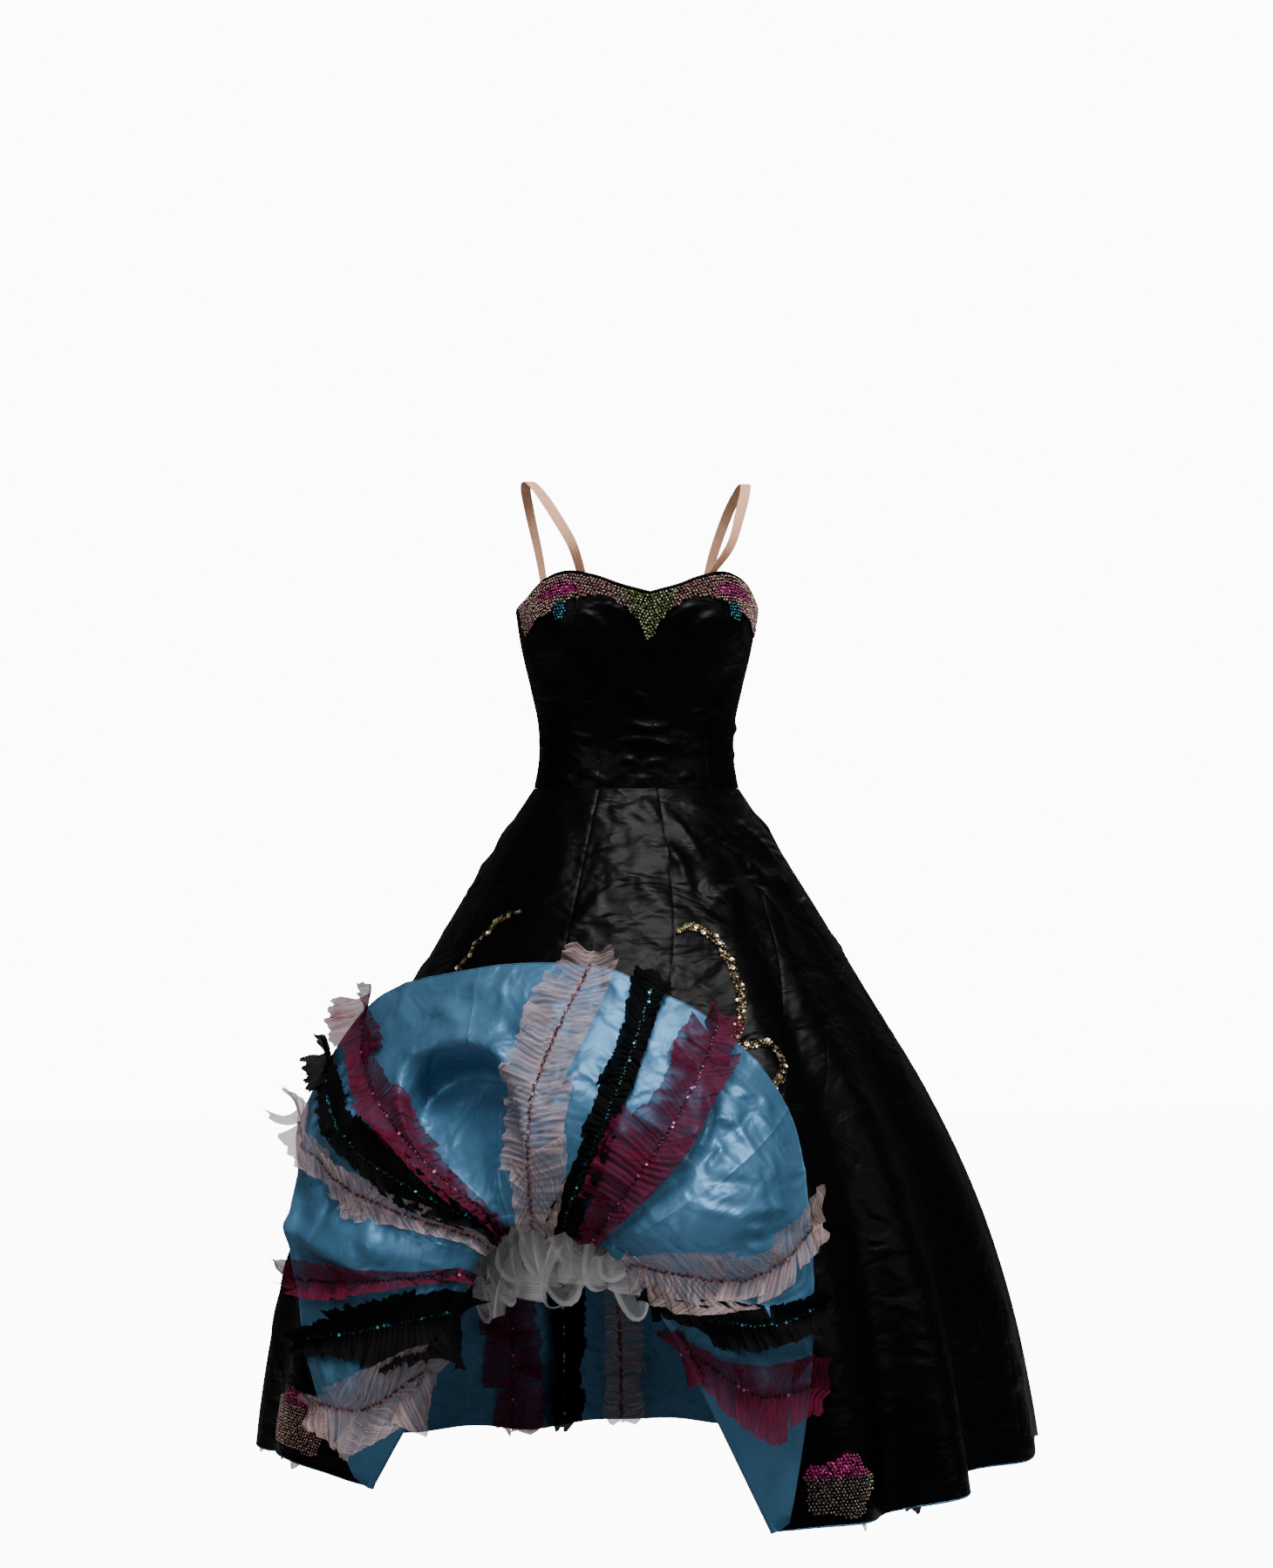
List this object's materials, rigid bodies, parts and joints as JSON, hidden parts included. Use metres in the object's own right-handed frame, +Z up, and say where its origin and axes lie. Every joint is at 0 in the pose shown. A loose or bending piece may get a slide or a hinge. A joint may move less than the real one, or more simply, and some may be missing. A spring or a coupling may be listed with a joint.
{
  "type": "can-can dress",
  "caption": "Worn can-can dress: fitted black bodice on thin straps and a full gored skirt, its front hem held up to show a blue lining with net ruffles, over a net petticoat.",
  "frame": {"origin": "centre of the waist seam, where the wearer's waist holds the dress", "axes": "+Z up along the wearer's trunk; the dress faces -Y; +X is the dress's own left"},
  "size_m": [0.9259, 0.9884, 1.1963],
  "materials": {
    "shell_satin": "black satin",
    "lining_satin": "steel-blue satin",
    "net_pink": "dusty pink net",
    "net_black": "black net",
    "net_wine": "wine-red net",
    "petticoat_net": "pale grey net",
    "strap_elastic": "flesh-coloured elastic",
    "sequins": "shiny metallic sequins",
    "beads": "small glossy beads"
  },
  "bodies": {
    "root": {"skirt_left_1": "shell_satin", "lining_left_1": "lining_satin", "ruffle_pink_left_1": "net_pink", "ruffle_black_left_1": "net_black", "ruffle_wine_left_1": "net_wine", "skirt_left_2": "shell_satin", "lining_left_2": "lining_satin", "ruffle_pink_left_2": "net_pink", "ruffle_black_left_2": "net_black", "ruffle_wine_left_2": "net_wine", "skirt_left_3": "shell_satin", "lining_left_3": "lining_satin", "ruffle_pink_left_3": "net_pink", "ruffle_black_left_3": "net_black", "ruffle_wine_left_3": "net_wine", "skirt_left_4": "shell_satin", "lining_left_4": "lining_satin", "ruffle_pink_left_4": "net_pink", "ruffle_black_left_4": "net_black", "ruffle_wine_left_4": "net_wine", "skirt_left_5": "shell_satin", "lining_left_5": "lining_satin", "ruffle_pink_left_5": "net_pink", "ruffle_black_left_5": "net_black", "ruffle_wine_left_5": "net_wine", "skirt_right_1": "shell_satin", "lining_right_1": "lining_satin", "ruffle_pink_right_1": "net_pink", "ruffle_black_right_1": "net_black", "ruffle_wine_right_1": "net_wine", "skirt_right_2": "shell_satin", "lining_right_2": "lining_satin", "ruffle_pink_right_2": "net_pink", "ruffle_black_right_2": "net_black", "ruffle_wine_right_2": "net_wine", "skirt_right_3": "shell_satin", "lining_right_3": "lining_satin", "ruffle_pink_right_3": "net_pink", "ruffle_black_right_3": "net_black", "ruffle_wine_right_3": "net_wine", "skirt_right_4": "shell_satin", "lining_right_4": "lining_satin", "ruffle_pink_right_4": "net_pink", "ruffle_black_right_4": "net_black", "ruffle_wine_right_4": "net_wine", "skirt_right_5": "shell_satin", "lining_right_5": "lining_satin", "ruffle_pink_right_5": "net_pink", "ruffle_black_right_5": "net_black", "ruffle_wine_right_5": "net_wine", "bodice_front_left": "shell_satin", "bodice_side_left": "shell_satin", "bodice_back_left": "shell_satin", "strap_left": "strap_elastic", "bodice_front_right": "shell_satin", "bodice_side_right": "shell_satin", "bodice_back_right": "shell_satin", "strap_right": "strap_elastic", "petticoat_skirt": "petticoat_net", "petticoat_frill": "petticoat_net"}
  },
  "joints": []
}
